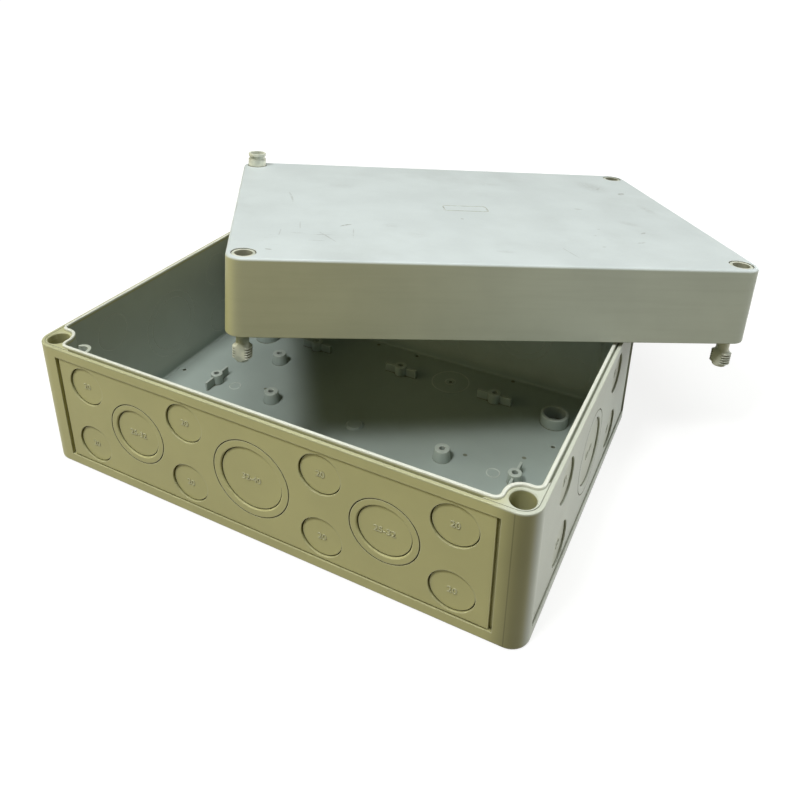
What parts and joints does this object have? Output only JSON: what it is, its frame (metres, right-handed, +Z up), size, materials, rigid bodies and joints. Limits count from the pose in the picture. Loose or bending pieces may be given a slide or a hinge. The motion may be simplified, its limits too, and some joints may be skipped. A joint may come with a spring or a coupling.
{
  "type": "junction box",
  "caption": "Open rectangular plastic junction box: deep base with break-out cable entries, deep lid swung aside on one captive corner screw.",
  "frame": {"origin": "middle of the base's underside, at the centre of the four wall-screw holes", "axes": "+X along the long wall to the right, +Y to the back, +Z up out of the opening"},
  "size_m": [0.3053, 0.3159, 0.1226],
  "materials": {
    "base_plastic": "satin moulded polystyrene, warm light grey",
    "lid_plastic": "satin moulded polystyrene, cool light grey with fine scratches on its top",
    "screw_plastic": "smooth moulded nylon, light grey",
    "gasket_foam": "soft closed-cell foam strip"
  },
  "bodies": {
    "base": {"base_shell": "base_plastic", "knockouts_20_front": "base_plastic", "knockouts_20_right": "base_plastic", "knockouts_20_back": "base_plastic", "knockouts_20_left": "base_plastic", "ring_40_front": "base_plastic", "ring_40_right": "base_plastic", "ring_40_back": "base_plastic", "ring_40_left": "base_plastic", "knockout_32_front": "base_plastic", "knockout_32_right": "base_plastic", "knockout_32_back": "base_plastic", "knockout_32_left": "base_plastic", "rings_32_front": "base_plastic", "knockouts_25_front": "base_plastic", "rings_32_back": "base_plastic", "knockouts_25_back": "base_plastic"},
    "pivot_screw": {"screw_back_left": "screw_plastic"},
    "lid": {"lid_shell": "lid_plastic", "lid_gasket": "gasket_foam"},
    "front_left_screw": {"screw_front_left": "screw_plastic"},
    "front_right_screw": {"screw_front_right": "screw_plastic"},
    "back_right_screw": {"screw_back_right": "screw_plastic"}
  },
  "joints": [
    {"name": "lid_lift", "type": "slide", "parent": "base", "child": "pivot_screw", "axis": [0, 0, 1], "range_m": [0, 0.06]},
    {"name": "lid_swing", "type": "hinge", "parent": "pivot_screw", "child": "lid", "pos_m": [-0.11884, 0.08236, 0.07025], "axis": [0.0139, 0.1072, 0.9941], "range_deg": [-20, 0]},
    {"name": "front_left_screw_slide", "type": "slide", "parent": "lid", "child": "front_left_screw", "axis": [0.0139, 0.1072, 0.9941], "range_m": [0, 0.014]},
    {"name": "front_right_screw_slide", "type": "slide", "parent": "lid", "child": "front_right_screw", "axis": [0.0139, 0.1072, 0.9941], "range_m": [0, 0.014]},
    {"name": "back_right_screw_slide", "type": "slide", "parent": "lid", "child": "back_right_screw", "axis": [0.0139, 0.1072, 0.9941], "range_m": [0, 0.014]}
  ]
}
